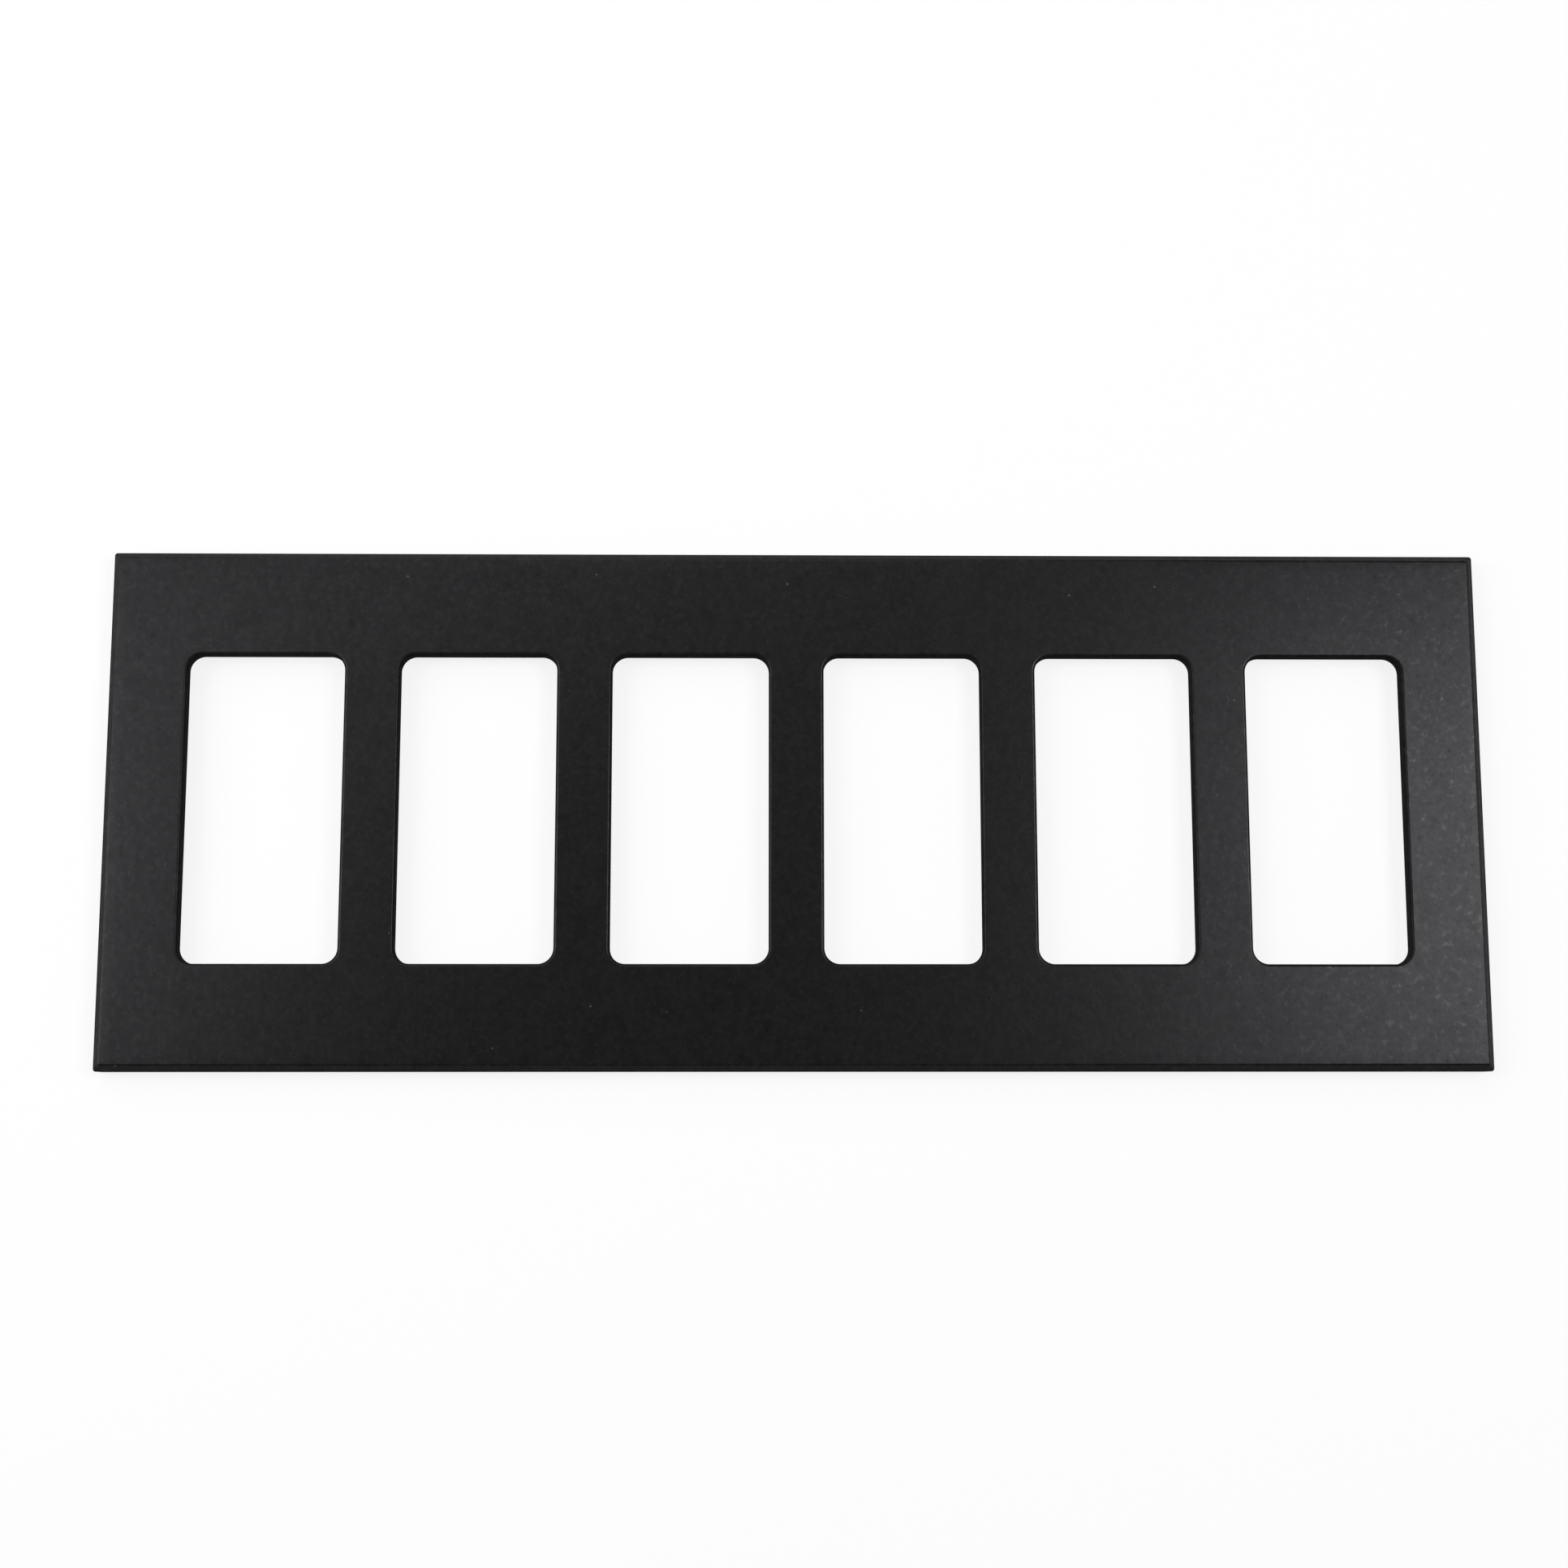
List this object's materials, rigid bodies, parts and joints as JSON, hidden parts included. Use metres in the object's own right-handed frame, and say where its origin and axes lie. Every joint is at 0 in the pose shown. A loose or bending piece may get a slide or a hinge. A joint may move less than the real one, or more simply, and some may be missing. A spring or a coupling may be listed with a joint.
{
  "type": "switch plate",
  "caption": "Long rectangular screwless wall plate in matte black with a row of upright openings for rocker switches, dimmers or sockets, a bevelled front edge and a hollow back that clips on.",
  "frame": {"origin": "middle of the back rim, in the plane that meets the wall", "axes": "+X along the row of openings, +Y up the wall, +Z out of the wall towards the room; the plate lies on its back"},
  "size_m": [0.2982, 0.1128, 0.0064],
  "materials": {
    "plate": "satin black with a fine moulded grain"
  },
  "bodies": {
    "root": {"switch_plate": "plate"}
  },
  "joints": []
}
